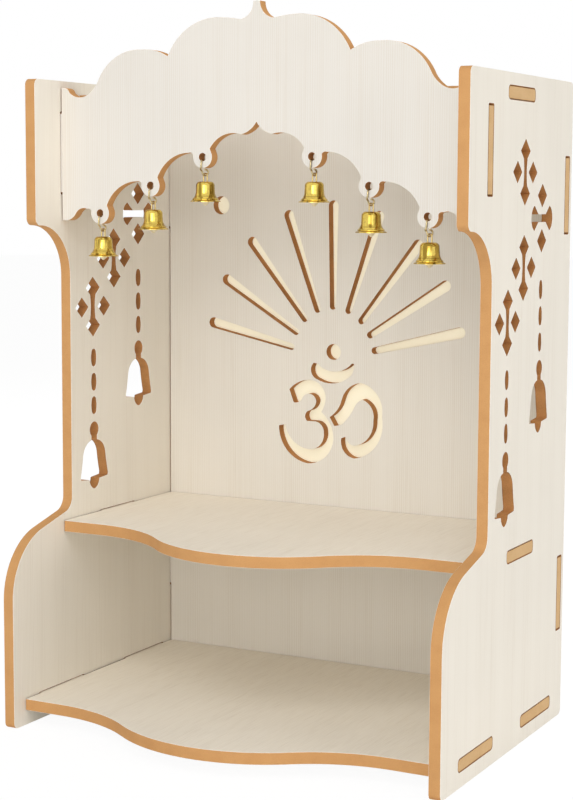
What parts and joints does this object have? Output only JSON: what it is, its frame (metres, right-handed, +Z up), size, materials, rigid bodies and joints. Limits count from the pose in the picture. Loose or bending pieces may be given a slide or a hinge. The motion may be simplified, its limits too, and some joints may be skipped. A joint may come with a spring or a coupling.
{
  "type": "pooja mandir",
  "caption": "Table-top home temple of slotted boards with a scalloped, bell-hung arch crown, pierced sides, a rayed back, two wave-fronted shelves and swinging brass bells.",
  "frame": {"origin": "middle of the footprint on the floor", "axes": "+X to the right seen from the front, +Y to the back board, +Z up; the front faces -Y"},
  "size_m": [0.305, 0.231, 0.4618],
  "materials": {
    "board": "off-white laminate with a fine upright grain, raw tan edges",
    "lining": "matt cream sheet",
    "brass": "polished",
    "pale_brass": "satin",
    "wire": "bright drawn wire"
  },
  "bodies": {
    "case": {"left_side": "board", "right_side": "board", "back_panel": "board", "crown": "board", "upper_shelf": "board", "lower_shelf": "board", "top_brace": "board", "back_lining": "lining"},
    "link_1": {"link_1": "wire"},
    "bell_1": {"bell_1": "brass"},
    "clapper_1": {"clapper_1": "pale_brass"},
    "link_2": {"link_2": "wire"},
    "bell_2": {"bell_2": "brass"},
    "clapper_2": {"clapper_2": "pale_brass"},
    "link_3": {"link_3": "wire"},
    "bell_3": {"bell_3": "brass"},
    "clapper_3": {"clapper_3": "pale_brass"},
    "link_4": {"link_4": "wire"},
    "bell_4": {"bell_4": "brass"},
    "clapper_4": {"clapper_4": "pale_brass"},
    "link_5": {"link_5": "wire"},
    "bell_5": {"bell_5": "brass"},
    "clapper_5": {"clapper_5": "pale_brass"},
    "link_6": {"link_6": "wire"},
    "bell_6": {"bell_6": "brass"},
    "clapper_6": {"clapper_6": "pale_brass"}
  },
  "joints": [
    {"name": "link_swing_1", "type": "hinge", "parent": "case", "child": "link_1", "pos_m": [-0.115, -0.02775, 0.32995], "axis": [0, 1, 0], "range_deg": [-30, 30]},
    {"name": "bell_swing_1", "type": "hinge", "parent": "link_1", "child": "bell_1", "pos_m": [-0.115, -0.02775, 0.32165], "axis": [1, 0, 0], "range_deg": [-30, 30]},
    {"name": "clapper_swing_1", "type": "hinge", "parent": "bell_1", "child": "clapper_1", "pos_m": [-0.115, -0.02775, 0.31357], "axis": [1, 0, 0], "range_deg": [-15, 15]},
    {"name": "link_swing_2", "type": "hinge", "parent": "case", "child": "link_2", "pos_m": [-0.07667, -0.02775, 0.34775], "axis": [0, 1, 0], "range_deg": [-30, 30]},
    {"name": "bell_swing_2", "type": "hinge", "parent": "link_2", "child": "bell_2", "pos_m": [-0.07667, -0.02775, 0.33945], "axis": [1, 0, 0], "range_deg": [-30, 30]},
    {"name": "clapper_swing_2", "type": "hinge", "parent": "bell_2", "child": "clapper_2", "pos_m": [-0.07667, -0.02775, 0.33137], "axis": [1, 0, 0], "range_deg": [-15, 15]},
    {"name": "link_swing_3", "type": "hinge", "parent": "case", "child": "link_3", "pos_m": [-0.03833, -0.02775, 0.36555], "axis": [0, 1, 0], "range_deg": [-30, 30]},
    {"name": "bell_swing_3", "type": "hinge", "parent": "link_3", "child": "bell_3", "pos_m": [-0.03833, -0.02775, 0.35725], "axis": [1, 0, 0], "range_deg": [-30, 30]},
    {"name": "clapper_swing_3", "type": "hinge", "parent": "bell_3", "child": "clapper_3", "pos_m": [-0.03833, -0.02775, 0.34917], "axis": [1, 0, 0], "range_deg": [-15, 15]},
    {"name": "link_swing_4", "type": "hinge", "parent": "case", "child": "link_4", "pos_m": [0.03833, -0.02775, 0.36555], "axis": [0, 1, 0], "range_deg": [-30, 30]},
    {"name": "bell_swing_4", "type": "hinge", "parent": "link_4", "child": "bell_4", "pos_m": [0.03833, -0.02775, 0.35725], "axis": [1, 0, 0], "range_deg": [-30, 30]},
    {"name": "clapper_swing_4", "type": "hinge", "parent": "bell_4", "child": "clapper_4", "pos_m": [0.03833, -0.02775, 0.34917], "axis": [1, 0, 0], "range_deg": [-15, 15]},
    {"name": "link_swing_5", "type": "hinge", "parent": "case", "child": "link_5", "pos_m": [0.07667, -0.02775, 0.34775], "axis": [0, 1, 0], "range_deg": [-30, 30]},
    {"name": "bell_swing_5", "type": "hinge", "parent": "link_5", "child": "bell_5", "pos_m": [0.07667, -0.02775, 0.33945], "axis": [1, 0, 0], "range_deg": [-30, 30]},
    {"name": "clapper_swing_5", "type": "hinge", "parent": "bell_5", "child": "clapper_5", "pos_m": [0.07667, -0.02775, 0.33137], "axis": [1, 0, 0], "range_deg": [-15, 15]},
    {"name": "link_swing_6", "type": "hinge", "parent": "case", "child": "link_6", "pos_m": [0.115, -0.02775, 0.32995], "axis": [0, 1, 0], "range_deg": [-30, 30]},
    {"name": "bell_swing_6", "type": "hinge", "parent": "link_6", "child": "bell_6", "pos_m": [0.115, -0.02775, 0.32165], "axis": [1, 0, 0], "range_deg": [-30, 30]},
    {"name": "clapper_swing_6", "type": "hinge", "parent": "bell_6", "child": "clapper_6", "pos_m": [0.115, -0.02775, 0.31357], "axis": [1, 0, 0], "range_deg": [-15, 15]}
  ]
}
